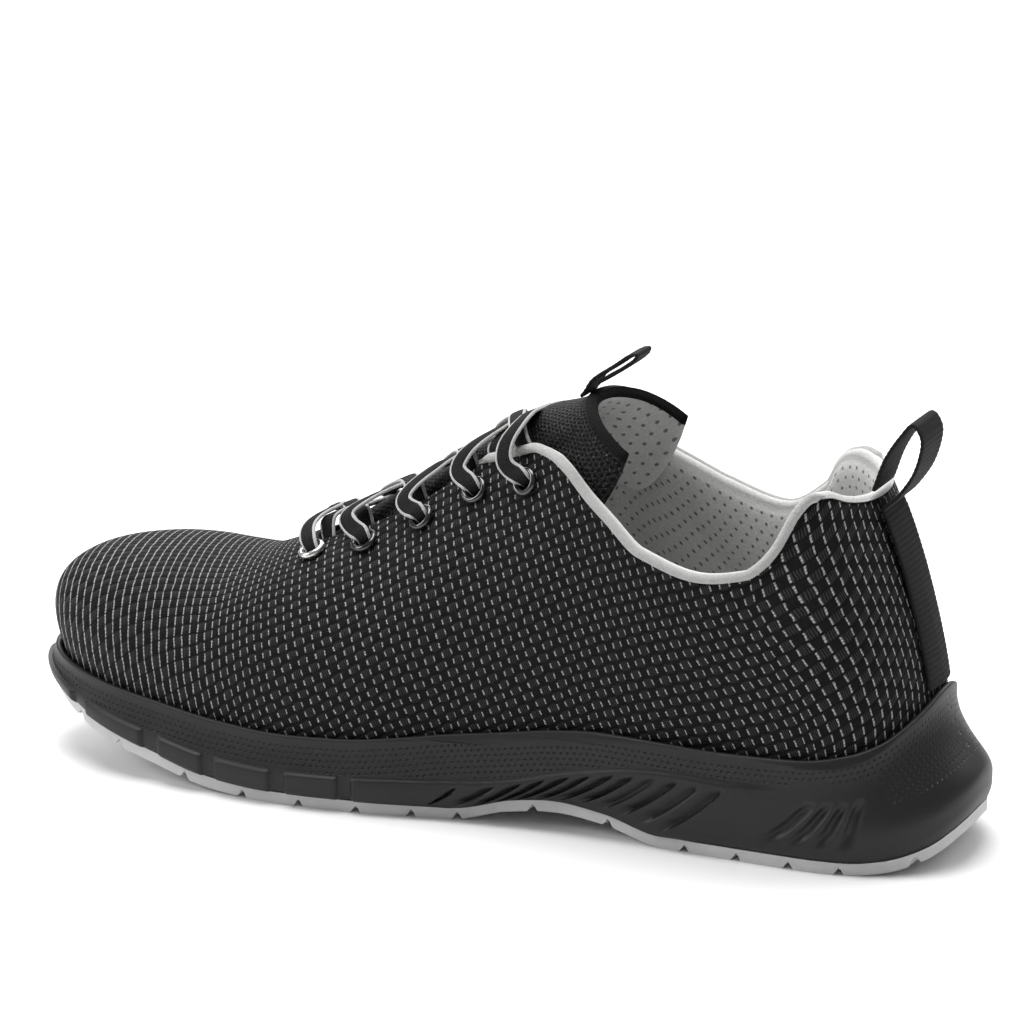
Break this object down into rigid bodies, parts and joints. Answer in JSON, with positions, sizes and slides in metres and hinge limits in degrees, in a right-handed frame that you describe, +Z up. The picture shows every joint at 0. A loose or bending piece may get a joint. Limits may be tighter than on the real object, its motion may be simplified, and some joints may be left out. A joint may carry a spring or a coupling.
{
  "type": "safety sneaker",
  "caption": "Low laced work shoe for the right foot: woven upper with a hidden toe cap, padded collar and tongue, pull loops at heel and tongue, ribbed foam midsole and lugged outsole.",
  "frame": {"origin": "on the floor under the middle of the shoe's length, on the sole's long axis", "axes": "+Z up from the floor, -X towards the toe, -Y towards the inner (medial) side of this right shoe"},
  "size_m": [0.2999, 0.1049, 0.1392],
  "materials": {
    "outsole_rubber": "matt light grey rubber",
    "midsole_foam": "matt black moulded polyurethane",
    "woven_upper": "black basket-woven textile with light grey thread",
    "tongue_mesh": "black open mesh over foam",
    "lining": "light grey spacer mesh",
    "webbing": "black ribbed webbing",
    "lace": "black flat braid with light grey edges",
    "eyelet_metal": "glossy black enamel"
  },
  "bodies": {
    "root": {"outsole": "outsole_rubber", "midsole": "midsole_foam", "insole": "lining", "upper": "woven_upper", "tongue": "tongue_mesh", "collar_padding": "lining", "heel_pull_strap": "webbing", "tongue_pull_loop": "webbing", "lace": "lace", "eyelet_medial_1": "eyelet_metal", "eyelet_medial_2": "eyelet_metal", "eyelet_medial_3": "eyelet_metal", "eyelet_medial_4": "eyelet_metal", "eyelet_medial_5": "eyelet_metal", "eyelet_lateral_1": "eyelet_metal", "eyelet_lateral_2": "eyelet_metal", "eyelet_lateral_3": "eyelet_metal", "eyelet_lateral_4": "eyelet_metal", "eyelet_lateral_5": "eyelet_metal"}
  },
  "joints": []
}
